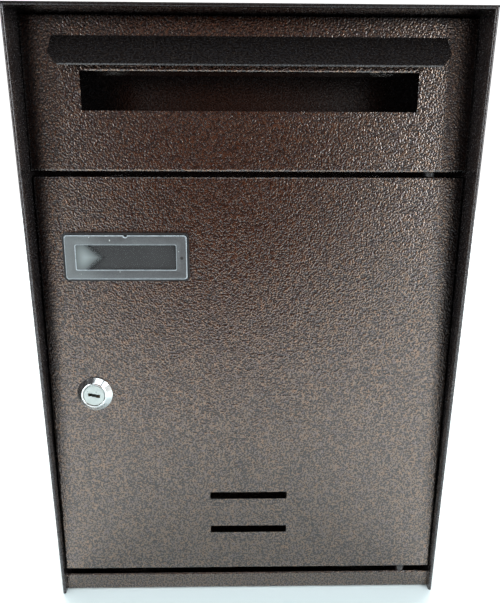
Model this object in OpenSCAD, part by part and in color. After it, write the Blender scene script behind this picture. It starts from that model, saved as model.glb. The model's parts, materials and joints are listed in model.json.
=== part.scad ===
// Wall mounted mailbox in folded sheet steel.
// X runs to the right, the front faces -Y, the wall is at Y = 0 and +Z is up.
// The origin is the middle of the four wall holes, on the back face.

/* [Casing] */
// Width over the two side walls
casing_w = 250; // [230:1:300]
// Height from the foot of the side walls to the top of the roof
casing_h = 362; // [350:1:420]
// Distance from the wall to the front face of the door
door_depth = 80; // [72:1:130]
// How far the side walls stand in front of the door at the top
rim_top = 22.5; // [19:0.5:40]
// How far the side walls stand in front of the door at the foot
rim_bottom = 3.5; // [3:0.5:8]
// Thickness of the sheet steel
sheet = 1; // [0.8:0.1:1.2]
// Thickness of the folded front edges
hem_t = 2.1; // [1.9:0.1:2.4]
// How far the folded edges are turned back
hem_depth = 5; // [4:0.5:6]
// Outer radius of the bends
bend_r = 1.5; // [1.4:0.1:2]
// How far the roof stands out past each side wall
roof_overhang = 0.3; // [0:0.1:1]

/* [Wall holes] */
// Distance between the holes across the back
hole_spacing_x = 180; // [120:5:200]
// Distance between the holes up the back
hole_spacing_z = 240; // [200:5:300]
// Radius of a wall hole
wall_hole_r = 3; // [2:0.25:4]

/* [Upper front panel] */
// Height of the upper panel, from its lower edge to the roof
upper_panel_h = 82.6; // [80:0.2:90]
// Width of the letter slot
slot_w = 186; // [150:1:200]
// Height of the letter slot
slot_h = 20.5; // [18:0.5:24]
// Distance from the lower edge of the panel to the foot of the slot
slot_rise = 33; // [30:0.5:34]
// Width of the visor where it meets the panel
visor_w = 213.5; // [190:0.5:218]
// How far the visor reaches out and down
visor_reach = 16; // [12:0.5:18]
// Distance from the lower edge of the panel to the root of the visor
visor_rise = 71.6; // [70:0.2:73]
// Size of the cut corners of the visor
visor_chamfer = 6.2; // [3:0.2:8]

/* [Door] */
// Gap between the door and each side wall
door_side_gap = 0.9; // [0.8:0.1:2.2]
// Gap between the door and the upper panel
door_top_gap = 2.4; // [2.2:0.1:4]
// Height of the lower edge of the door above the foot of the casing
door_rise = 16.2; // [16:0.1:22]
// Depth of the flanges round the door and the upper panel
flange_d = 14; // [12:0.5:14]
// Width of a vent slit
vent_w = 50; // [30:1:70]
// Height of a vent slit
vent_h = 5; // [3:0.5:6]
// Distance between the vent slits
vent_pitch = 25; // [15:1:30]
// Height of the lower vent slit above the foot of the casing
vent_rise = 46.5; // [40:0.5:60]
// Distance from the edge of the door to the hinge axis
hinge_inset = 19.1; // [18:0.1:22]
// Distance from the front of the door back to the hinge axis
hinge_back = 4.5; // [4.4:0.1:4.6]
// Radius of the hinge pins
pin_r = 1.5; // [1.2:0.1:1.5]

/* [Lock] */
// Distance of the lock to the left of the middle
lock_left = 95.5; // [88:0.5:96]
// Height of the lock above the foot of the casing
lock_rise = 143.6; // [100:0.2:200]
// Radius of the lock collar on the door
collar_r = 11; // [10:0.25:12]
// Radius of the front rim of the collar
rim_r = 7.5; // [7.2:0.1:8]
// How far the collar stands out from the door
collar_h = 3.5; // [3.5:0.25:6]
// Radius of the threaded body
body_r = 8; // [7.5:0.25:8]
// Distance from the front of the door to the rear of the body
body_l = 16; // [16:0.25:18]
// Radius of the plug
plug_r = 6.35; // [6:0.05:6.4]
// Distance from the lock axis to the tip of the cam
cam_l = 24; // [22:0.5:25]

/* [Nameplate] */
// Width of the nameplate base
plate_w = 73.2; // [60:0.2:80]
// Height of the nameplate base
plate_h = 28.4; // [24:0.2:30]
// Distance of the nameplate's middle to the left of the middle
plate_left = 71.8; // [70:0.2:76]
// Height of the nameplate's middle above the foot of the casing
plate_rise = 229.8; // [220:0.2:245]
// Width of the window
window_w = 58; // [50:1:64]
// Height of the window
window_h = 14.5; // [12:0.5:16]

/* [Hidden] */
$fn = 64;
foot = -casing_h / 2;
top = casing_h / 2;
door_y = -door_depth;
wall_x = casing_w / 2 - sheet;
wall_top = top - sheet;
wall_h = wall_top - foot;
clear = 0.05;
fit_gap = 0.3;
cut = 1;
rim_angle = atan((rim_top - rim_bottom) / wall_h);
lip_y = door_y + 0.8;
lip_h = 11.8;
lug_w = 20;
lug_d = 14;
weld_flange = 10;
weld_gap = 2;
upper_foot = wall_top - upper_panel_h;
slot_foot = upper_foot + slot_rise;
slot_top = slot_foot + slot_h;
flap_inset = 3.3;
fold_r = 1.2;
visor_root = upper_foot + visor_rise;
visor_flange = 8;
visor_slant = visor_reach * sqrt(2);
door_w = 2 * (wall_x - door_side_gap);
door_foot = foot + door_rise;
door_top = upper_foot - door_top_gap;
door_h = door_top - door_foot;
hinge_x = door_w / 2 - hinge_inset;
hinge_y = door_y + hinge_back;
pin_head_r = 3;
pin_head_h = 1.5;
pin_tail = 1;
pin_reach = 6;
washer_t = 1;
lock_z = foot + lock_rise;
body_flat = 6.8;
collar_foot_h = 1;
rim_t = 0.9;
plug_recess = 0.35;
plug_tail = 7;
cam_t = 2;
cam_w = 12;
cam_y = body_l + fit_gap;
nut_t = 4;
nut_r = 12.4;
lock_washer_t = 1;
lock_washer_r = 10.6;
tooth_count = 12;
tooth_w = 2.4;
tooth_l = 1;
key_w = 7;
key_t = 2;
key_step = 0.5;
key_lap = 0.2;
key_depth = 16;
wafer_count = 5;
wafer_t = 0.8;
wafer_pitch = 2.2;
wafer_w = 9;
wafer_h = 5;
wafer_clear = 0.1;
wafer_start = -1.5;
wafer_window_h = 3.4;
cam_screw_r = 2;
cam_screw_l = 7;
cam_screw_head_r = 3.6;
cam_screw_head_h = 2.2;
screw_tip_gap = 1;
cross_w = 0.9;
cross_l = 4;
cross_depth = 1.2;
cam_washer_r = 4.6;
cam_washer_t = 0.8;
strike_t = 1.5;
strike_h = 32;
strike_reach = 12;
strike_leg = 14;
strike_gap = 0.3;
plate_z = foot + plate_rise;
plate_r = 2.6;
base_t = 1.6;
base_rim = 0.9;
base_rim_h = 2.4;
peg_r = 1.5;
peg_x = 30;
peg_l = 5;
push_nut_r = 4;
push_nut_t = 0.6;
card_t = 0.3;
card_border = 1.2;
cover_t = 1.2;
cover_y = base_t + card_t + fit_gap;
cover_step = 0.6;
cover_bevel = 0.5;
notch_r = 1.1;

// Paint on the casing and the door
module painted() {
    color("#4a3a34") children();
}

module steel() {
    color("silver") children();
}

// Block of width w and height h from y = 0 to y = d, its four front edges rounded to radius r
module pillow_block(w, h, d, r) {
    intersection() {
        translate([0, 0, -h / 2])
            linear_extrude(height = h) rounded_front(w, d, r);
        rotate([0, 90, 0])
            translate([0, 0, -w / 2])
                linear_extrude(height = w) rounded_front(h, d, r);
    }
}

// Outline of width w from y = 0 to y = d, with its two front corners rounded to radius r
module rounded_front(w, d, r) {
    translate([-w / 2, r]) square([w, d - r]);
    translate([r - w / 2, 0]) square([w - 2 * r, d]);
    for (side = [-1, 1])
        translate([side * (w / 2 - r), r]) circle(r);
}

// Sheet tray with its front face at y = 0 and flanges back to y = d on all four sides
module tray(w, h, d) {
    difference() {
        pillow_block(w, h, d, bend_r);
        translate([0, sheet, 0])
            pillow_block(w - 2 * sheet, h - 2 * sheet, d, bend_r - sheet);
    }
}

// Plate of outline w by h with round corners, from y = 0 back to y = t
module round_plate(w, h, t, r) {
    translate([0, t, 0]) rotate([90, 0, 0])
        linear_extrude(height = t) round_outline(w, h, r);
}

module round_outline(w, h, r) {
    square([w - 2 * r, h], center = true);
    square([w, h - 2 * r], center = true);
    for (x = [-1, 1], y = [-1, 1])
        translate([x * (w / 2 - r), y * (h / 2 - r)]) circle(r);
}

// Cylinder along Y, from y = 0 back to y = l
module y_cylinder(r, l) {
    rotate([-90, 0, 0]) cylinder(r = r, h = l);
}

// Block centred on x = 0 and z = 0, from y = 0 back to y = d
module y_block(w, d, h) {
    translate([-w / 2, 0, -h / 2]) cube([w, d, h]);
}

module at_hinge(z) {
    translate([hinge_x, hinge_y, z]) children();
}

module at_lock() {
    translate([-lock_left, door_y, lock_z]) children();
}

module at_nameplate() {
    translate([-plate_left, door_y, plate_z]) children();
}

module at_pegs() {
    for (side = [-1, 1])
        translate([side * peg_x, 0, 0]) children();
}

// Back sheet with its flanges turned forward and four wall holes
module back_panel() {
    painted() difference() {
        translate([0, 0, foot + sheet + (wall_h - sheet) / 2])
            rotate([0, 0, 180]) tray(2 * wall_x, wall_h - sheet, weld_flange);
        for (x = [-1, 1], z = [-1, 1])
            translate([x * hole_spacing_x / 2, -sheet - cut, z * hole_spacing_z / 2])
                y_cylinder(wall_hole_r, sheet + 2 * cut);
    }
}

// Flat wall whose front edge leans forward towards the roof and is folded back on itself
module side_wall() {
    web_front = door_y - rim_bottom + hem_t;
    web_lean = rim_top - rim_bottom;
    translate([-casing_w / 2, 0, 0])
        rotate([90, 0, 90])
            linear_extrude(height = sheet)
                polygon([[0, foot], [0, wall_top], [web_front - web_lean, wall_top], [web_front, foot]]);
    intersection() {
        translate([-casing_w / 2, door_y - rim_bottom, foot])
            rotate([rim_angle, 0, 0])
                translate([0, 0, -hem_depth])
                    linear_extrude(height = wall_h + 2 * hem_depth) hem_outline();
        translate([-casing_w / 2, door_y - rim_top - hem_depth, foot])
            cube([hem_t, rim_top + 3 * hem_depth, wall_h]);
    }
}

// Section through a folded edge, its round nose at y = 0
module hem_outline() {
    translate([0, hem_t / 2]) square([hem_t, hem_depth - hem_t / 2]);
    translate([hem_t / 2, hem_t / 2]) circle(hem_t / 2);
}

module left_side_wall() {
    painted() side_wall();
}

module right_side_wall() {
    painted() mirror([1, 0, 0]) side_wall();
}

// Flat roof with a folded front edge between the walls and two welding flanges
module roof() {
    roof_w = casing_w + 2 * roof_overhang;
    roof_front = door_y - rim_top - roof_overhang;
    roof_d = -roof_front;
    flange_l = door_depth - flange_d - weld_flange - 2 * weld_gap;
    painted() {
        translate([-roof_w / 2, roof_front + hem_t / 2, wall_top])
            cube([roof_w, roof_d - hem_t / 2, sheet]);
        intersection() {
            translate([0, roof_front, top])
                rotate([0, 90, 0])
                    translate([0, 0, -roof_w / 2]) linear_extrude(height = roof_w) hem_outline();
            union() {
                translate([-wall_x - sheet + hem_t, roof_front, top - hem_t])
                    cube([2 * (wall_x + sheet - hem_t), hem_depth, hem_t]);
                translate([-roof_w / 2, roof_front, wall_top])
                    cube([roof_w, hem_depth, sheet]);
            }
        }
        for (side = [0, 1])
            mirror([side, 0, 0])
                translate([wall_x - sheet, -weld_flange - weld_gap - flange_l, wall_top - weld_flange])
                    cube([sheet, flange_l, weld_flange]);
    }
}

// Floor sheet with a folded front lip, a lug for the lower hinge pin and two welding flanges
module bottom_plate() {
    lip_w = casing_w - 2 * hem_t;
    flange_l = door_depth - flange_d - weld_flange - 2 * weld_gap;
    painted() {
        difference() {
            translate([-lip_w / 2, lip_y, foot])
                rotate([90, 0, 90]) linear_extrude(height = lip_w) lip_section();
            translate([hinge_x - lug_w / 2, lip_y - cut, foot + lip_h - hem_depth])
                cube([lug_w, hem_t + 2 * cut, hem_depth + cut]);
        }
        translate([-wall_x, lip_y + hem_depth, foot])
            cube([2 * wall_x, -lip_y - hem_depth, sheet]);
        for (side = [0, 1])
            mirror([side, 0, 0])
                translate([wall_x - sheet, -weld_flange - weld_gap - flange_l, foot])
                    cube([sheet, flange_l, weld_flange]);
        difference() {
            translate([hinge_x - lug_w / 2, lip_y, foot + lip_h])
                rotate([90, 0, 90])
                    linear_extrude(height = lug_w) mirror([0, 1]) bend_outline(lug_d, hem_depth);
            at_hinge(foot) cylinder(r = pin_r, h = 2 * lip_h);
        }
    }
}

// Section of the lip, its front at y = 0: a round bend at the foot and a folded top edge
module lip_section() {
    bend_outline(bend_r + hem_depth, bend_r + lip_h - hem_depth);
    translate([0, lip_h]) mirror([0, 1]) hem_outline();
}

// Sheet bent square, with one leg back to l and the other up to h
module bend_outline(l, h) {
    difference() {
        union() {
            translate([bend_r, bend_r]) circle(bend_r);
            translate([bend_r, 0]) square([l - bend_r, sheet]);
            translate([0, bend_r]) square([sheet, h - bend_r]);
        }
        translate([bend_r, bend_r]) circle(bend_r - sheet);
        translate([sheet, bend_r]) square(l + h);
        translate([bend_r, sheet]) square(l + h);
    }
}

// Upper front tray with the letter slot, the slit for the visor and the upper hinge hole
module upper_front_panel() {
    panel_mid = upper_foot + upper_panel_h / 2;
    painted() {
        difference() {
            translate([0, door_y, panel_mid]) tray(2 * wall_x, upper_panel_h, flange_d);
            translate([0, door_y - cut, slot_foot + slot_h / 2])
                y_block(slot_w, sheet + 2 * cut, slot_h);
            translate([0, door_y - cut, slot_top])
                y_block(slot_w - 2 * flap_inset, sheet + 2 * cut, 2 * fold_r);
            translate([0, door_y - cut, visor_root - sheet * sqrt(2) / 2])
                y_block(visor_w, sheet + 2 * cut, sheet * sqrt(2));
            at_hinge(upper_foot - cut) cylinder(r = pin_r, h = sheet + 2 * cut);
        }
        slot_flap();
    }
}

// Flap folded inwards from the top edge of the slot
module slot_flap() {
    flap_w = slot_w - 2 * flap_inset;
    flap_l = slot_h - fold_r;
    translate([-flap_w / 2, door_y, slot_top + fold_r])
        rotate([90, 0, 90])
            linear_extrude(height = flap_w) {
                difference() {
                    translate([fold_r, 0]) circle(fold_r);
                    translate([fold_r, 0]) circle(fold_r - sheet);
                    square([2 * fold_r, 2 * fold_r]);
                    translate([fold_r, -2 * fold_r]) square([2 * fold_r, 2 * fold_r]);
                }
                translate([fold_r, -fold_r]) square([flap_l, sheet]);
            }
}

// Sheet visor: a slanting blade with cut corners and a flange welded behind the panel
module visor() {
    blade_t = sheet * sqrt(2);
    painted() {
        difference() {
            translate([0, door_y, visor_root])
                rotate([90, 0, 90])
                    translate([0, 0, -visor_w / 2])
                        linear_extrude(height = visor_w)
                            polygon([
                                [sheet, 0], [0, 0],
                                [-visor_reach, -visor_reach],
                                [sheet / sqrt(2) - visor_reach, -visor_reach - sheet / sqrt(2)],
                                [0, -blade_t], [sheet, -blade_t]
                            ]);
            for (side = [0, 1])
                mirror([side, 0, 0]) visor_corner_cut();
        }
        translate([-visor_w / 2, door_y + sheet, visor_root - blade_t])
            cube([visor_w, sheet, visor_flange]);
    }
}

// Prism square to the blade that takes off one free corner
module visor_corner_cut() {
    chamfer_l = visor_chamfer * sqrt(2);
    translate([visor_w / 2, door_y, visor_root])
        rotate([45, 0, 0])
            translate([0, 0, -2 * sheet])
                linear_extrude(height = 4 * sheet)
                    polygon([
                        [cut, chamfer_l - visor_slant], [0, chamfer_l - visor_slant],
                        [-visor_chamfer, -visor_slant], [-visor_chamfer, -visor_slant - cut],
                        [cut, -visor_slant - cut]
                    ]);
}

// Angle on the left wall that the cam turns in behind and the door closes against
module strike_bracket() {
    front = door_y + flange_d + strike_gap;
    painted() {
        translate([-wall_x, front, lock_z - strike_h / 2])
            cube([strike_reach, strike_t, strike_h]);
        translate([-wall_x, front, lock_z - strike_h / 2])
            cube([strike_t, strike_leg, strike_h]);
    }
}

// Pin with its head on the lower flange of the upper panel
module upper_hinge_pin() {
    shank = sheet + door_top_gap + pin_reach;
    painted() at_hinge(upper_foot + sheet) {
        translate([0, 0, -shank]) cylinder(r = pin_r, h = shank);
        cylinder(r = pin_head_r, h = pin_head_h);
    }
}

// Pin riveted in the lug of the floor, with a shoulder that carries the door
module lower_hinge_pin() {
    shoulder = door_rise - lip_h - washer_t - fit_gap;
    painted() at_hinge(foot + lip_h - sheet) {
        translate([0, 0, -pin_tail])
            cylinder(r = pin_r, h = pin_tail + sheet + shoulder + washer_t + fit_gap + pin_reach);
        translate([0, 0, sheet]) cylinder(r = pin_head_r, h = shoulder);
    }
}

// Washer under the door and the longer collar above it
module hinge_spacers() {
    color("#2a2726") {
        at_hinge(door_foot - fit_gap - washer_t) spacer(washer_t);
        at_hinge(door_top + fit_gap) spacer(door_top_gap - fit_gap);
    }
}

module spacer(h) {
    difference() {
        cylinder(r = pin_head_r, h = h);
        translate([0, 0, -cut]) cylinder(r = pin_r + clear, h = h + 2 * cut);
    }
}

// Door tray with two vent slits and holes for the lock, the nameplate and the hinge pins
module door_panel() {
    painted() difference() {
        translate([0, door_y, door_foot + door_h / 2]) tray(door_w, door_h, flange_d);
        for (row = [0, 1])
            translate([0, door_y - cut, foot + vent_rise + row * vent_pitch])
                y_block(vent_w, sheet + 2 * cut, vent_h);
        at_lock() translate([0, -cut, 0]) lock_body(body_r + clear, body_flat + clear, sheet + 2 * cut);
        at_nameplate() at_pegs() translate([0, -cut, 0]) y_cylinder(peg_r + clear, sheet + 2 * cut);
        at_hinge(door_foot - cut) cylinder(r = pin_r + clear, h = sheet + 2 * cut);
        at_hinge(door_top - sheet - cut) cylinder(r = pin_r + clear, h = sheet + 2 * cut);
    }
}

// Round bar along Y with two flats that stop it from turning in the door
module lock_body(r, flat, l) {
    intersection() {
        y_cylinder(r, l);
        y_block(2 * r, l, 2 * flat);
    }
}

// Moulded tray that takes the card, with two pegs through the door
module nameplate_base() {
    color("#141416") at_nameplate() {
        difference() {
            translate([0, -base_rim_h, 0]) round_plate(plate_w, plate_h, base_rim_h, plate_r);
            translate([0, -base_rim_h - cut, 0])
                round_plate(plate_w - 2 * base_rim, plate_h - 2 * base_rim,
                    base_rim_h - base_t + cut, plate_r - base_rim);
        }
        at_pegs() y_cylinder(peg_r, peg_l);
    }
}

module nameplate_push_nuts() {
    steel() at_nameplate() at_pegs()
        translate([0, sheet, 0])
            difference() {
                y_cylinder(push_nut_r, push_nut_t);
                translate([0, -cut, 0]) y_cylinder(peg_r, push_nut_t + 2 * cut);
            }
}

// Blank card behind the window
module name_card() {
    color("#3c3a3a") at_nameplate()
        translate([0, -base_t - card_t, 0])
            y_block(window_w + 2 * card_border, card_t, window_h + 2 * card_border);
}

// Clear cover with a raised window step, a bevelled rim and a notch to lift it by
module nameplate_cover() {
    cover_w = plate_w - 2 * base_rim - 2 * fit_gap;
    cover_h = plate_h - 2 * base_rim - 2 * fit_gap;
    cover_r = plate_r - base_rim - fit_gap;
    window_r = 0.8;
    color("#9aa0a4", 0.4) at_nameplate()
        difference() {
            union() {
                translate([0, -cover_y - cover_t + cover_bevel, 0])
                    round_plate(cover_w, cover_h, cover_t - cover_bevel, cover_r);
                translate([0, -cover_y - cover_t, 0])
                    round_plate(cover_w - 2 * cover_bevel, cover_h - 2 * cover_bevel,
                        cover_t, cover_r - cover_bevel);
            }
            translate([0, -cover_y - cover_t - cut, 0])
                round_plate(window_w, window_h, cut + cover_step, window_r);
            translate([0, -cover_y - cover_t - cut, cover_h / 2])
                y_cylinder(notch_r, cover_t + 2 * cut);
        }
}

// Chromed collar and threaded body in one casting, bored for the plug
module lock_housing() {
    color("gainsboro") at_lock() difference() {
        union() {
            rotate([90, 0, 0]) rotate_extrude() collar_outline();
            lock_body(body_r, body_flat, body_l);
        }
        translate([0, -collar_h - cut, 0]) y_cylinder(plug_r + clear, collar_h + body_l + 2 * cut);
    }
}

// Half section of the collar: a short straight foot, a sloping flank and a flat rim
module collar_outline() {
    polygon([
        [0, 0], [collar_r, 0], [collar_r, collar_foot_h],
        [rim_r + rim_t / 2, collar_h - rim_t / 2], [rim_r, collar_h], [0, collar_h]
    ]);
}

// Toothed washer between the door and the nut
module lock_washer() {
    steel() at_lock() translate([0, sheet, 0]) difference() {
        union() {
            y_cylinder(lock_washer_r - tooth_l, lock_washer_t);
            for (i = [0 : tooth_count - 1])
                rotate([0, i * 360 / tooth_count, 0])
                    translate([lock_washer_r - tooth_l, 0, 0]) y_block(2 * tooth_l, lock_washer_t, tooth_w);
        }
        translate([0, -cut, 0]) y_cylinder(body_r, lock_washer_t + 2 * cut);
    }
}

module lock_nut() {
    steel() at_lock() translate([0, sheet + lock_washer_t, 0]) difference() {
        rotate([-90, 0, 0]) cylinder(r = nut_r, h = nut_t, $fn = 6);
        translate([0, -cut, 0]) y_cylinder(body_r, nut_t + 2 * cut);
    }
}

// Turning plug with its keyway, wafer slots and a square tail for the cam
module lock_plug() {
    face_y = plug_recess - collar_h;
    color("whitesmoke") at_lock() difference() {
        union() {
            translate([0, face_y, 0]) y_cylinder(plug_r, cam_y - face_y);
            translate([0, cam_y, 0]) y_block(plug_tail, cam_t, plug_tail);
        }
        translate([0, face_y - cut, 0])
            rotate([-90, 0, 0]) linear_extrude(height = key_depth + cut) keyway_outline();
        for (i = [0 : wafer_count - 1])
            translate([0, wafer_y(i) - wafer_clear, 0])
                y_block(wafer_w + 2 * wafer_clear, wafer_t + 2 * wafer_clear, wafer_h + 2 * wafer_clear);
        translate([0, cam_y + cam_t - cam_screw_l, 0]) y_cylinder(cam_screw_r, cam_screw_l + cut);
    }
}

// Slit in three steps for a profiled key
module keyway_outline() {
    for (i = [-1 : 1])
        translate([i * key_w / 3, i * key_step])
            square([key_w / 3 + key_lap, key_t], center = true);
}

function wafer_y(i) = wafer_start + i * wafer_pitch;

// Flat wafers that the key lifts, each with a window round the keyway
module lock_wafers() {
    color("goldenrod") at_lock()
        for (i = [0 : wafer_count - 1])
            translate([0, wafer_y(i), 0]) difference() {
                y_block(wafer_w, wafer_t, wafer_h);
                translate([0, -cut, 0]) y_block(key_w + 2 * key_lap, wafer_t + 2 * cut, wafer_window_h);
            }
}

// Lever that hangs down when unlocked and turns to the left behind the strike
module lock_cam() {
    steel() at_lock() translate([0, cam_y, 0]) difference() {
        union() {
            y_cylinder(body_r, cam_t);
            translate([-cam_w / 2, 0, cam_w / 2 - cam_l]) cube([cam_w, cam_t, cam_l - cam_w / 2]);
            translate([0, 0, cam_w / 2 - cam_l]) y_cylinder(cam_w / 2, cam_t);
        }
        translate([0, -cut, 0]) y_block(plug_tail, cam_t + 2 * cut, plug_tail);
    }
}

module cam_washer() {
    steel() at_lock() translate([0, cam_y + cam_t, 0]) difference() {
        y_cylinder(cam_washer_r, cam_washer_t);
        translate([0, -cut, 0]) y_cylinder(cam_screw_r, cam_washer_t + 2 * cut);
    }
}

// Screw with a cross recess that holds the cam on the plug
module cam_screw() {
    head_y = cam_y + cam_t + cam_washer_t;
    shank_l = cam_screw_l + cam_washer_t - screw_tip_gap;
    steel() at_lock() difference() {
        union() {
            translate([0, head_y - shank_l, 0]) y_cylinder(cam_screw_r, shank_l);
            translate([0, head_y, 0]) y_cylinder(cam_screw_head_r, cam_screw_head_h);
        }
        for (turn = [0, 90])
            rotate([0, turn, 0])
                translate([0, head_y + cam_screw_head_h - cross_depth, 0])
                    y_block(cross_l, cross_depth + cut, cross_w);
    }
}

back_panel();
left_side_wall();
right_side_wall();
roof();
bottom_plate();
upper_front_panel();
visor();
strike_bracket();
upper_hinge_pin();
lower_hinge_pin();
hinge_spacers();
door_panel();
nameplate_base();
nameplate_push_nuts();
name_card();
nameplate_cover();
lock_housing();
lock_washer();
lock_nut();
lock_plug();
lock_wafers();
lock_cam();
cam_washer();
cam_screw();
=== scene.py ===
"""Looks of a wall mounted mailbox in hammered copper paint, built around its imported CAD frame.

Everything is in metres in the CAD frame: X to the right, the front faces -Y, the wall is at Y = 0.
"""

import json
import math

import bmesh
import bpy
from mathutils import Matrix, Vector


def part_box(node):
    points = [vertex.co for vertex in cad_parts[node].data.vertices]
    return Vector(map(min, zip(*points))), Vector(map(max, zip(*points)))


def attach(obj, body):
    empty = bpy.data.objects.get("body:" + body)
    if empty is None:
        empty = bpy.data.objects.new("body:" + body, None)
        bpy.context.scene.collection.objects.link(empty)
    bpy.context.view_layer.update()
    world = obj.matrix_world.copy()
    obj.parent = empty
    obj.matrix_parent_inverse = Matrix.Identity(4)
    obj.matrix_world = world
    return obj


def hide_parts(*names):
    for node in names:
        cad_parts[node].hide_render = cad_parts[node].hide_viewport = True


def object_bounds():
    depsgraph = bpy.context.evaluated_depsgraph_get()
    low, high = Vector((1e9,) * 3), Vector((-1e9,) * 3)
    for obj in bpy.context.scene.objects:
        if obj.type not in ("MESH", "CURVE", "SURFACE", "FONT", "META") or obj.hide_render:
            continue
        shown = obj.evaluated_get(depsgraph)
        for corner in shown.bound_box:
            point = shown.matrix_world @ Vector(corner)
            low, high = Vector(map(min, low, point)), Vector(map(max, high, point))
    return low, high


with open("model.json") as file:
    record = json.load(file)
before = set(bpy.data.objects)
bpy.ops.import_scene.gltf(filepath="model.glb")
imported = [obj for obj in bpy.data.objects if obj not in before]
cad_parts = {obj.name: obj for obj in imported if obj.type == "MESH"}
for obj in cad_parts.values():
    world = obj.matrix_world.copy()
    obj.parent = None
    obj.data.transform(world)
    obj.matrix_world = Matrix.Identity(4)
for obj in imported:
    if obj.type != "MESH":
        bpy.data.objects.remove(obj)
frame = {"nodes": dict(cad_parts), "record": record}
nodes = frame["nodes"]
cad_low, cad_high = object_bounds()
scene = bpy.context.scene

MM = 0.001
IOR_PLASTIC = 1.49
PLATE_MIDDLE_Z = 48.8 * MM
# Where the painted shade of a small hole in the cover's frame sits.
HOLE_SHADE_SPOT = (-39.5 * MM, -83 * MM, 48.5 * MM)


# ---------------------------------------------------------------- camera


CAMERA_PLACE = (-0.0067, -0.4299, 0.1126)
CAMERA_PITCH, CAMERA_YAW, CAMERA_ROLL = -0.2544, 0.0203, -0.0043
LENS_MM, SENSOR_MM = 36.0, 36.0


def make_camera():
    """Close to the box, a little above its middle, looking down."""
    data = bpy.data.cameras.new("camera")
    data.lens = LENS_MM
    data.sensor_width = SENSOR_MM
    camera = bpy.data.objects.new("camera", data)
    camera.matrix_world = (
        Matrix.Translation(CAMERA_PLACE)
        @ Matrix.Rotation(-CAMERA_YAW, 4, "Z")
        @ Matrix.Rotation(math.pi / 2 + CAMERA_PITCH, 4, "X")
        @ Matrix.Rotation(-CAMERA_ROLL, 4, "Z")
    )
    scene.collection.objects.link(camera)
    scene.camera = camera


make_camera()


# ---------------------------------------------------------------- node helpers


def add(tree, kind, inputs=None, **settings):
    """Adds a shader node: an input that is a socket is linked, and any other is set."""
    node = tree.nodes.new("ShaderNode" + kind)
    for key, value in settings.items():
        setattr(node, key, value)
    for key, value in (inputs or {}).items():
        if isinstance(value, bpy.types.NodeSocket):
            tree.links.new(value, node.inputs[key])
        else:
            node.inputs[key].default_value = value
    return node


def noise(tree, vector, scale, detail=2.0, roughness=0.5):
    inputs = {"Vector": vector, "Scale": scale, "Detail": detail, "Roughness": roughness}
    return add(tree, "TexNoise", inputs).outputs[0]


def ramp(tree, factor, stops):
    """Colour ramp from (place, colour) stops, where a colour may be one grey value."""
    node = add(tree, "ValToRGB", {"Fac": factor})
    elements = node.color_ramp.elements
    while len(elements) < len(stops):
        elements.new(0.5)
    for element, (place, colour) in zip(elements, stops):
        element.position = place
        if not hasattr(colour, "__len__"):
            colour = (colour,) * 3
        element.color = (*colour, 1.0)
    return node.outputs["Color"]


def tones(low, high, start=0.3, end=0.7):
    """The two stops of a ramp between two colours or values, over the middle of a noise's range."""
    return [(start, low), (end, high)]


def mix(tree, factor, a, b, blend="MIX"):
    node = tree.nodes.new("ShaderNodeMix")
    node.data_type = "RGBA"
    node.blend_type = blend
    for socket, value in ((node.inputs[0], factor), (node.inputs[6], a), (node.inputs[7], b)):
        if isinstance(value, bpy.types.NodeSocket):
            tree.links.new(value, socket)
        elif socket.type == "RGBA":
            socket.default_value = (*value, 1.0)
        else:
            socket.default_value = value
    return node.outputs[2]


def maths(tree, operation, *values):
    node = tree.nodes.new("ShaderNodeMath")
    node.operation = operation
    for socket, value in zip(node.inputs, values):
        if isinstance(value, bpy.types.NodeSocket):
            tree.links.new(value, socket)
        else:
            socket.default_value = value
    return node.outputs[0]


def bump(tree, height, distance, strength):
    inputs = {"Height": height, "Distance": distance, "Strength": strength}
    return add(tree, "Bump", inputs).outputs["Normal"]


def axes(tree, vector):
    """The X, Y and Z of a vector."""
    return add(tree, "SeparateXYZ", {"Vector": vector}).outputs


def span(tree, value, start, end):
    """Smooth step of a value, from 0 at start to 1 at end."""
    limits = {"Value": value, "From Min": start, "From Max": end}
    return add(tree, "MapRange", limits, interpolation_type="SMOOTHSTEP").outputs["Result"]


def new_material(name, **constants):
    """A material with one Principled shader, and the object coordinates that its textures use."""
    material = bpy.data.materials.new(name)
    material.use_nodes = True
    tree = material.node_tree
    tree.nodes.clear()
    shader = tree.nodes.new("ShaderNodeBsdfPrincipled")
    output = tree.nodes.new("ShaderNodeOutputMaterial")
    tree.links.new(shader.outputs[0], output.inputs["Surface"])
    for key, value in constants.items():
        shader.inputs[key.replace("_", " ")].default_value = value
    coordinates = add(tree, "TexCoord").outputs["Object"]
    return material, tree, shader, coordinates


def drive(tree, shader, **sockets):
    """Links sockets to the shader's inputs, which are named with _ for a space."""
    for key, socket in sockets.items():
        tree.links.new(socket, shader.inputs[key.replace("_", " ")])


# ---------------------------------------------------------------- materials


# Stops of the flakes' colour, from the plain to the reddest ones.
FULL_TINTS = (
    (0.28, (0.125, 0.085, 0.092)),
    (0.44, (0.152, 0.103, 0.082)),
    (0.56, (0.188, 0.118, 0.074)),
    (0.72, (0.270, 0.138, 0.080)),
)
# Darker flake colours for the painted shade of the casing's inner faces, visor, back and pins.
SHADED_TINTS = (
    (0.30, (0.050, 0.048, 0.054)),
    (0.50, (0.058, 0.052, 0.054)),
    (0.75, (0.085, 0.062, 0.048)),
)
# Still darker flake colours: painted shade on the roof.
SHADED_ROOF_TINTS = (
    (0.30, (0.030, 0.029, 0.032)),
    (0.50, (0.035, 0.031, 0.032)),
    (0.75, (0.050, 0.037, 0.029)),
)
BETWEEN_FLAKES = (0.020, 0.014, 0.013)
# Painted shade for the corners of the front and the top under the roof.
PAINTED_CORNER_SHADE = (0.012, 0.011, 0.012)
PATCHES_PER_M, GRAIN_PER_M, HUES_PER_M, DRIFT_PER_M = 1000.0, 2200.0, 620.0, 300.0
DRIFT = 0.5 * MM
FLAKE_RELIEF, COAT_RELIEF = 0.6 * MM, 0.55 * MM


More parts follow.
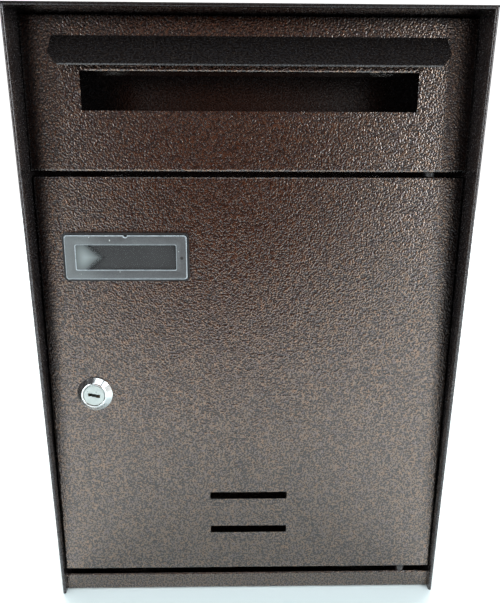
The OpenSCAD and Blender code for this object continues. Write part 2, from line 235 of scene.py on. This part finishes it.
def painted_corner_shade(tree, place):
    """Painted shade: rises to 1 in the corners by the side walls, less so towards the foot, and
    under the roof.
    """
    parts = axes(tree, place)
    beside_wall = span(tree, maths(tree, "ABSOLUTE", parts["X"]), 112.5 * MM, 120.5 * MM)
    beside_wall = maths(tree, "MULTIPLY", beside_wall, span(tree, parts["Z"], -160 * MM, 40 * MM))
    return maths(tree, "MAXIMUM", beside_wall, span(tree, parts["Z"], 174 * MM, 180 * MM))


def hammered_paint(
    name, tints=FULL_TINTS, metal=1.0, relief=1.0, gloss=0.11, coat=1.0, corners=False
):
    """Glossy paint whose metal flakes gather in worm-like patches 1 mm apart, dark between them.

    With corners, shade is painted into the corners of the front and under the roof.
    """
    material, tree, shader, place = new_material(
        name, Metallic=metal, Coat_Weight=coat, Coat_Roughness=gloss, Coat_IOR=1.74
    )
    drift = add(tree, "TexNoise", {"Vector": place, "Scale": DRIFT_PER_M, "Detail": 1.0})
    bent = add(
        tree,
        "VectorMath",
        {0: drift.outputs["Color"], 1: (DRIFT, DRIFT, DRIFT), 2: place},
        operation="MULTIPLY_ADD",
    ).outputs[0]
    patches = noise(tree, bent, PATCHES_PER_M, 0.8, 0.45)
    grain = noise(tree, place, GRAIN_PER_M, 1.0)
    hue = noise(tree, place, HUES_PER_M, 2.0, 0.6)
    cover = ramp(tree, patches, [(0.38, 0.0), (0.48, 0.35), (0.58, 1.0)])
    colour = mix(tree, cover, BETWEEN_FLAKES, ramp(tree, hue, tints))
    if corners:
        # Painted shade: the paint darkens and its coat weakens by the side walls and under the
        # roof.
        corner = painted_corner_shade(tree, place)
        colour = mix(tree, maths(tree, "MULTIPLY", corner, 0.9), colour, PAINTED_CORNER_SHADE)
        drive(tree, shader, Coat_Weight=ramp(tree, corner, [(0.0, coat), (1.0, 0.2 * coat)]))
    height = maths(tree, "MULTIPLY_ADD", grain, 0.06, patches)
    drive(
        tree,
        shader,
        Base_Color=colour,
        Roughness=ramp(tree, patches, tones(0.32, 0.22, 0.35, 0.65)),
        Normal=bump(tree, height, FLAKE_RELIEF * relief, 0.5),
        Coat_Normal=bump(tree, patches, COAT_RELIEF * relief, 0.7),
    )
    return material


def zinc_steel():
    """Zinc plated steel: grey, faintly cloudy, with fine scratches."""
    material, tree, shader, place = new_material("zinc_steel", Metallic=1.0)
    clouds = noise(tree, place, 160.0, 3.0, 0.6)
    shade = ramp(tree, clouds, tones((0.42, 0.43, 0.44), (0.62, 0.62, 0.60)))
    drive(tree, shader, Base_Color=shade)
    scratches = noise(tree, place, 2400.0, 2.0)
    drive(tree, shader, Roughness=ramp(tree, clouds, tones(0.42, 0.28)))
    drive(tree, shader, Normal=bump(tree, scratches, 0.00005, 0.5))
    return material


def black_plastic():
    """Moulded black plastic with a fine spark-eroded grain."""
    material, tree, shader, place = new_material("black_plastic", Specular_IOR_Level=0.5)
    clouds = noise(tree, place, 90.0, 2.0)
    shade = ramp(tree, clouds, tones((0.012, 0.012, 0.013), (0.022, 0.022, 0.023)))
    drive(tree, shader, Base_Color=shade)
    grain = noise(tree, place, 3200.0, 1.0)
    drive(tree, shader, Roughness=ramp(tree, grain, tones(0.34, 0.5)))
    drive(tree, shader, Normal=bump(tree, grain, 0.00006, 0.4))
    return material


def grey_card():
    """Uncoated dark grey card with short paper fibres."""
    material, tree, shader, place = new_material("grey_card", Roughness=0.85)
    fibres = noise(tree, place, 420.0, 3.0, 0.6)
    shade = ramp(tree, fibres, tones((0.041, 0.041, 0.042), (0.051, 0.051, 0.052), 0.25, 0.75))
    drive(tree, shader, Base_Color=shade)
    drive(tree, shader, Normal=bump(tree, fibres, 0.00003, 0.2))
    return material


def plate_fade(tree, place, lean):
    """Falls from 1 at the left end of the nameplate's window to 0, sooner away from its middle."""
    parts = axes(tree, place)
    off_middle = maths(tree, "ABSOLUTE", maths(tree, "SUBTRACT", parts["Z"], PLATE_MIDDLE_Z))
    along = maths(tree, "MULTIPLY_ADD", off_middle, lean, parts["X"])
    return span(tree, along, -82 * MM, -98 * MM)


def clear_plastic():
    """Clear plastic, faintly uneven as moulded parts are, with a glare painted at its left end as
    paler, less clear colour.
    """
    material, tree, shader, place = new_material(
        "clear_plastic", IOR=IOR_PLASTIC, Specular_IOR_Level=0.4
    )
    haze = noise(tree, place, 160.0, 2.0)
    # Painted glare: the window turns pale and less clear towards its left end.
    painted_glare = plate_fade(tree, place, 1.1)
    clear = ramp(tree, haze, tones((0.022, 0.023, 0.024), (0.030, 0.031, 0.032)))
    off_end = span(tree, axes(tree, place)["X"], -102.5 * MM, -94.5 * MM)
    glare = mix(tree, off_end, (0.10, 0.11, 0.11), (0.27, 0.30, 0.30))
    drive(tree, shader, Base_Color=mix(tree, painted_glare, clear, glare))
    drive(tree, shader, Alpha=ramp(tree, painted_glare, [(0.0, 0.1), (0.35, 0.95)]))
    drive(tree, shader, Roughness=ramp(tree, haze, tones(0.16, 0.22)))
    drive(tree, shader, Normal=bump(tree, noise(tree, place, 60.0, 1.0), 0.0002, 0.1))
    return material


def frosted_plastic():
    """The cover's frame: the same plastic with a fine frosted back, grey over the black tray."""
    material, tree, shader, place = new_material(
        "frosted_plastic", IOR=IOR_PLASTIC, Coat_Weight=0.6, Coat_Roughness=0.16
    )
    specks = noise(tree, place, 2200.0, 2.0, 0.6)
    clouds = noise(tree, place, 140.0, 2.0)
    shade = ramp(tree, specks, tones((0.062, 0.066, 0.070), (0.100, 0.104, 0.108)))
    shade = mix(tree, 1.0, shade, ramp(tree, clouds, tones(0.82, 1.0)), "MULTIPLY")
    # Painted glare: the frame turns lighter towards its left end.
    left_glare = plate_fade(tree, place, 0.0)
    shade = mix(tree, maths(tree, "MULTIPLY", left_glare, 0.35), shade, (0.20, 0.22, 0.22))
    chips = ramp(tree, noise(tree, place, 700.0, 1.0), [(0.77, 0.0), (0.79, 1.0)])
    shade = mix(tree, chips, shade, (0.5, 0.52, 0.52))
    # Painted shade: a small hole in the frame is drawn as a black spot.
    hole_distance = add(tree, "VectorMath", {0: place, 1: HOLE_SHADE_SPOT}, operation="DISTANCE").outputs["Value"]
    shade = mix(tree, span(tree, hole_distance, 1.3 * MM, 0.7 * MM), shade, (0.01, 0.01, 0.01))
    drive(tree, shader, Base_Color=shade)
    drive(tree, shader, Roughness=ramp(tree, clouds, tones(0.38, 0.5)))
    drive(tree, shader, Normal=bump(tree, specks, 0.00004, 0.4))
    return material


def painted_edge_highlight():
    """Bevels of the clear cover with a painted highlight: a pale colour for the light that they
    catch.
    """
    material, tree, shader, place = new_material(
        "painted_edge_highlight", IOR=IOR_PLASTIC, Coat_Weight=0.5, Coat_Roughness=0.1
    )
    highlight_patches = noise(tree, place, 420.0, 3.0, 0.7)
    shade = ramp(tree, highlight_patches, tones((0.22, 0.25, 0.27), (0.46, 0.50, 0.53)))
    drive(tree, shader, Base_Color=shade)
    drive(tree, shader, Roughness=ramp(tree, highlight_patches, tones(0.25, 0.45)))
    return material


def lock_chrome():
    """Polished chrome with faint clouds and hairline scratches."""
    material, tree, shader, place = new_material("lock_chrome", Metallic=1.0)
    clouds = noise(tree, place, 220.0, 3.0)
    shade = ramp(tree, clouds, tones((0.80, 0.82, 0.82), (0.88, 0.89, 0.88)))
    drive(tree, shader, Base_Color=shade)
    drive(tree, shader, Roughness=ramp(tree, clouds, tones(0.07, 0.16)))
    drive(tree, shader, Normal=bump(tree, noise(tree, place, 1900.0, 2.0), 0.00002, 0.3))
    return material


def lock_face():
    """Satin nickel with a turned finish."""
    material, tree, shader, place = new_material("lock_face", Metallic=1.0)
    clouds = noise(tree, place, 300.0, 3.0)
    shade = ramp(tree, clouds, tones((0.46, 0.50, 0.48), (0.56, 0.59, 0.57)))
    drive(tree, shader, Base_Color=shade)
    drive(tree, shader, Roughness=ramp(tree, clouds, tones(0.26, 0.38)))
    drive(tree, shader, Normal=bump(tree, noise(tree, place, 2600.0, 2.0), 0.00003, 0.4))
    return material


def wafer_brass():
    """Stamped brass, dulled in patches."""
    material, tree, shader, place = new_material("wafer_brass", Metallic=1.0)
    clouds = noise(tree, place, 400.0, 3.0)
    shade = ramp(tree, clouds, tones((0.45, 0.30, 0.12), (0.66, 0.48, 0.22)))
    drive(tree, shader, Base_Color=shade)
    drive(tree, shader, Roughness=ramp(tree, clouds, tones(0.42, 0.28)))
    return material


# Painted shade: a darker, duller copy of the hammered paint for parts that sit in shade.
SHADED_COAT = hammered_paint(
    "shaded_hammered_paint", SHADED_TINTS, metal=0.65, relief=0.4, gloss=0.2, coat=0.5
)
OUTER_COAT = hammered_paint("outer_hammered_paint")
# Painted shade: a still darker, duller copy of the paint for the roof.
SHADED_ROOF_COAT = hammered_paint(
    "shaded_roof_hammered_paint", SHADED_ROOF_TINTS, metal=0.95, relief=0.4, gloss=0.25, coat=0.2
)
SHADED_COAT_PARTS = (
    "visor",
    "left_side_wall",
    "right_side_wall",
    "back_panel",
    "strike_bracket",
    "upper_hinge_pin",
    "lower_hinge_pin",
)
OUTWARD = {
    "left_side_wall": Vector((-1, 0, 0)),
    "right_side_wall": Vector((1, 0, 0)),
    "roof": Vector((0, 0, 1)),
    "back_panel": Vector((0, 1, 0)),
}
FINISHES = {
    "hammered_paint": hammered_paint("hammered_paint", corners=True),
    "zinc_steel": zinc_steel(),
    "black_plastic": black_plastic(),
    "grey_card": grey_card(),
    "clear_plastic": clear_plastic(),
    "lock_chrome": lock_chrome(),
    "lock_face": lock_face(),
    "wafer_brass": wafer_brass(),
}


def finish_nodes():
    """Gives every CAD node the finish of its material slot, and the casing darker copies of its
    paint, as painted shade.

    The outermost faces of the casing have the full coat.
    """
    for part in frame["record"]["subparts"]:
        mesh = nodes[part["node"]].data
        mesh.materials.clear()
        mesh.materials.append(FINISHES[part["material_slot"]])
    # Painted shade: these parts get the darker copy of the paint.
    for name in SHADED_COAT_PARTS:
        nodes[name].data.materials[0] = SHADED_COAT
    # Painted shade: the roof gets its darker copy of the paint.
    nodes["roof"].data.materials[0] = SHADED_ROOF_COAT
    for name, way in OUTWARD.items():
        mesh = nodes[name].data
        mesh.materials.append(OUTER_COAT)
        outermost = max(corner.co.dot(way) for corner in mesh.vertices)
        for face in mesh.polygons:
            if face.center.dot(way) > outermost - 0.1 * MM:
                face.material_index = 1


finish_nodes()


# ---------------------------------------------------------------- mesh helpers


def piece(name, build, materials, body, slot, *replaced):
    """Turns a bmesh into an object that rides on a CAD body and stands for CAD nodes."""
    mesh = bpy.data.meshes.new(name)
    bmesh.ops.recalc_face_normals(build, faces=build.faces)
    build.to_mesh(mesh)
    build.free()
    for material in materials:
        mesh.materials.append(material)
    made = bpy.data.objects.new(name, mesh)
    scene.collection.objects.link(made)
    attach(made, body)
    if replaced:
        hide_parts(*replaced)


def loft(build, rings, fills, caps=()):
    """Skins closed rings of points one after another; fills and caps give material indices."""
    rows = [[build.verts.new(point) for point in ring] for ring in rings]
    count = len(rows[0])
    for row, following, fill in zip(rows, rows[1:], fills):
        for i in range(count):
            k = (i + 1) % count
            face = build.faces.new((row[i], row[k], following[k], following[i]))
            face.material_index = fill
            face.smooth = True
    for row, fill in zip((rows[0], rows[-1]), caps):
        build.faces.new(row).material_index = fill


NOTCH = 1.1 * MM
CORNER_STEPS, NOTCH_STEPS = 6, 8


def plate_ring(centre, width, height, radius, depth, notch=0.0, inset=0.0):
    """Rounded rectangle in the XZ plane at y = depth, with a round notch in its top edge.

    The notch of the outermost ring is a half circle, and a ring that is inset keeps that distance.
    """
    points = []
    corners = ((1, 1, 0), (-1, 1, 90), (-1, -1, 180), (1, -1, 270))
    for side_x, side_z, start in corners:
        middle_x = side_x * (width / 2 - radius)
        middle_z = side_z * (height / 2 - radius)
        for step in range(CORNER_STEPS + 1):
            angle = math.radians(start + 90 * step / CORNER_STEPS)
            x, z = radius * math.cos(angle), radius * math.sin(angle)
            points.append((middle_x + x, middle_z + z))
        if start == 0:
            bend = notch + inset if notch else NOTCH
            reach = math.sqrt(bend**2 - inset**2)
            for step in range(NOTCH_STEPS + 1):
                x = reach * math.cos(math.pi * step / NOTCH_STEPS)
                dip = math.sqrt(bend**2 - x**2) - inset if notch else 0.0
                points.append((x, height / 2 - dip))
    return [Vector((centre.x + x, depth, centre.z + z)) for x, z in points]


def lathe(build, centre, profile, fills, segments=96):
    """Turns a closed (radius, depth) profile about a line along Y through the centre."""
    rings = []
    for radius, depth in profile + profile[:1]:
        ring = []
        for i in range(segments):
            angle = 2 * math.pi * i / segments
            ring.append((radius * math.cos(angle), depth, radius * math.sin(angle)))
        rings.append([Vector((centre.x + x, centre.y + y, centre.z + z)) for x, y, z in ring])
    loft(build, rings, fills)
    bmesh.ops.remove_doubles(build, verts=build.verts, dist=1e-7)


def soften(name, width, angle=35.0, segments=2):
    """A small bevel on the sharp edges of a CAD node, so that they catch the light."""
    modifier = nodes[name].modifiers.new("soft edges", "BEVEL")
    modifier.width = width
    modifier.segments = segments
    modifier.limit_method = "ANGLE"
    modifier.angle_limit = math.radians(angle)
    modifier.harden_normals = False


# ---------------------------------------------------------------- nameplate


WINDOW_W, WINDOW_H = 58.0 * MM, 14.5 * MM
RIM_RADIUS, WINDOW_RADIUS = 1.6 * MM, 0.8 * MM


def make_cover():
    """Clear cover: a bevelled rim, a frosted frame and a sunk window with a bevelled border."""
    low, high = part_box("nameplate_cover")
    centre = (low + high) / 2
    width, height = high.x - low.x, high.z - low.z
    front, back = low.y, high.y
    outer = (
        (0.0, back),
        (0.0, front + 0.5 * MM),
        (0.16 * MM, front + 0.14 * MM),
        (0.55 * MM, front),
    )
    rings = [
        plate_ring(centre, width - 2 * inset, height - 2 * inset, RIM_RADIUS, depth, NOTCH, inset)
        for inset, depth in outer
    ]
    inner = (
        (0.36 * MM, front),
        (0.14 * MM, front + 0.12 * MM),
        (0.0, front + 0.6 * MM),
    )
    rings += [
        plate_ring(centre, WINDOW_W + 2 * grow, WINDOW_H + 2 * grow, WINDOW_RADIUS, depth)
        for grow, depth in inner
    ]
    build = bmesh.new()
    frosted, edge, clear = range(3)
    loft(build, rings, [edge, edge, edge, frosted, edge, edge], caps=(clear, clear))
    piece(
        "clear_cover",
        build,
        [frosted_plastic(), painted_edge_highlight(), FINISHES["clear_plastic"]],
        "window",
        "clear_plastic",
        "nameplate_cover",
    )


# ---------------------------------------------------------------- lock


COLLAR_HEIGHT = 3.5 * MM
HALF_FLATS = 6.8 * MM

# In mm, like the half section below: (radius, depth behind the door's face).
BORE = 6.42
THREAD_CREST, THREAD_ROOT, THREAD_END = 8.0, 7.62, 7.6
THREAD_START, THREAD_TURNS = 1.2, 12
COLLAR_OUTLINE = (
    (BORE, -2.2),
    (6.80, -2.25),
    (6.82, -3.25),
    (7.0, -3.5),
    (7.35, -3.5),
    (7.75, -3.36),
    (8.02, -3.05),
    (10.75, -0.95),
    (10.95, -0.72),
    (11.0, -0.5),
    (11.0, 0.0),
    (THREAD_CREST, 0.0),
)


def make_collar():
    """Chromed conical collar with a rounded rim, and the threaded body behind it with its flats."""
    low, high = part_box("lock_housing")
    centre = Vector(((low.x + high.x) / 2, low.y + COLLAR_HEIGHT, (low.z + high.z) / 2))
    rear = (high.y - centre.y) / MM
    outline = [(BORE, rear), *COLLAR_OUTLINE]
    for turn in range(THREAD_TURNS):
        start = THREAD_START + turn * (rear - 2.0) / THREAD_TURNS
        outline += [(THREAD_CREST, start), (THREAD_ROOT, start + 0.5)]
    outline += [(THREAD_CREST, rear - 0.5), (THREAD_END, rear)]
    build = bmesh.new()
    profile = [(radius * MM, depth * MM) for radius, depth in outline]
    lathe(build, centre, profile, [0] * len(profile))
    for vert in build.verts:
        if vert.co.y > centre.y + 0.1 * MM:
            across = vert.co.z - centre.z
            vert.co.z = centre.z + max(-HALF_FLATS, min(HALF_FLATS, across))
    chrome = [FINISHES["lock_chrome"]]
    piece("lock_collar", build, chrome, "door", "lock_chrome", "lock_housing")


make_cover()
make_collar()
for name in ("nameplate_base", "lock_plug"):
    soften(name, 0.22 * MM)
for name in ("visor", "roof", "door_panel", "upper_front_panel", "strike_bracket"):
    soften(name, 0.25 * MM, 50.0)
soften("bottom_plate", 0.4 * MM, 50.0)


# ---------------------------------------------------------------- stage and light


FLOOR_HALF, FLOOR_GAP = 2.5, 0.2 * MM


def make_floor():
    """A plain pale floor that the box stands on."""
    mesh = bpy.data.meshes.new("floor")
    build = bmesh.new()
    bmesh.ops.create_grid(build, x_segments=2, y_segments=2, size=FLOOR_HALF)
    bmesh.ops.translate(build, verts=build.verts, vec=(0, 0, cad_low.z - FLOOR_GAP))
    build.to_mesh(mesh)
    build.free()
    floor = bpy.data.objects.new("floor", mesh)
    scene.collection.objects.link(floor)
    material, tree, shader, place = new_material("floor", Roughness=0.6, Specular_IOR_Level=0.3)
    shade = ramp(tree, noise(tree, place, 2.5), tones((0.765, 0.83, 0.85), (0.80, 0.86, 0.87)))
    drive(tree, shader, Base_Color=shade)
    mesh.materials.append(material)


# Name, place, aim, size, watts, colour and whether gloss shows it.
LIGHTS = (
    ("overhead", (0.0, -0.22, 0.7), (0.0, -0.22, 0.0), (0.8, 0.2), 3.9, (0.85, 0.98, 1.0), False),
    ("right_strip", (0.76, -0.78, 0.3), (0.0, -0.1, 0.0), (0.3, 0.9), 7.4, (0.9, 0.97, 1.0), True),
    ("left_strip", (-0.8, -0.75, 0.3), (0.0, -0.1, 0.0), (0.2, 0.9), 4.4, (0.93, 0.98, 1.0), True),
    ("ceiling", (0.02, -0.62, 0.8), (-0.08, -0.08, 0.0), (0.85, 0.3), 1.5, (0.90, 0.96, 1.0), True),
    ("behind", (0.0, 1.6, 1.6), (0.0, 1.4, 0.0), (3.0, 2.0), 140.0, (1.0, 1.0, 1.0), False),
)


def make_light(name, place, aim, size, power, colour, glossy):
    """A rectangular area light that the camera doesn't see."""
    data = bpy.data.lights.new(name, "AREA")
    data.shape = "RECTANGLE"
    data.size, data.size_y = size
    data.energy = power
    data.color = colour
    light = bpy.data.objects.new(name, data)
    light.location = place
    light.rotation_euler = (Vector(aim) - Vector(place)).to_track_quat("-Z", "Y").to_euler()
    light.visible_glossy = glossy
    light.visible_camera = False
    scene.collection.objects.link(light)


DIM_WAY = Vector((-0.12, -0.80, 1.0)).normalized()
# Light by how far a direction faces the dim way: 0 is straight away from it.
SKY = (
    (0.0, 1.2),
    (0.50, 1.1),
    (0.66, 0.75),
    (0.80, (0.38, 0.375, 0.375)),
    (0.92, (0.075, 0.074, 0.078)),
)


def make_world():
    """A pale studio: bright behind the box, at its sides and low in front, dark high in front."""
    world = bpy.data.worlds.new("studio")
    scene.world = world
    world.use_nodes = True
    tree = world.node_tree
    tree.nodes.clear()
    way = add(tree, "TexCoord").outputs["Generated"]
    facing = add(tree, "VectorMath", {0: way, 1: DIM_WAY}, operation="DOT_PRODUCT").outputs["Value"]
    light = ramp(tree, maths(tree, "MULTIPLY_ADD", facing, 0.5, 0.5), SKY)
    back = add(tree, "Background", {"Color": light, "Strength": 1.0})
    add(tree, "OutputWorld", {"Surface": back.outputs[0]})


SCREEN_Y = -0.56
SCREEN_CORNERS = ((-0.18, -0.18), (0.13, -0.18), (0.11, 0.55), (-0.16, 0.55))


def make_screen():
    """A dim screen behind the camera, warm below and grey above, which only gloss shows."""
    mesh = bpy.data.meshes.new("screen")
    build = bmesh.new()
    build.faces.new([build.verts.new((x, SCREEN_Y, z)) for x, z in SCREEN_CORNERS])
    build.to_mesh(mesh)
    build.free()
    screen = bpy.data.objects.new("screen", mesh)
    scene.collection.objects.link(screen)
    material = bpy.data.materials.new("screen")
    material.use_nodes = True
    tree = material.node_tree
    tree.nodes.clear()
    place = add(tree, "TexCoord").outputs["Object"]
    folds = noise(tree, place, 6.0, 2.0)
    glow = ramp(tree, folds, tones((0.18, 0.064, 0.034), (0.27, 0.105, 0.060)))
    glow = mix(tree, span(tree, axes(tree, place)["Z"], 0.16, 0.34), glow, (0.30, 0.27, 0.28))
    light = add(tree, "Emission", {"Color": glow, "Strength": 1.0})
    add(tree, "OutputMaterial", {"Surface": light.outputs[0]})
    mesh.materials.append(material)
    screen.visible_camera = False
    screen.visible_diffuse = False
    screen.visible_shadow = False


make_floor()
make_screen()
make_world()
for light in LIGHTS:
    make_light(*light)

scene.view_settings.view_transform = "Standard"
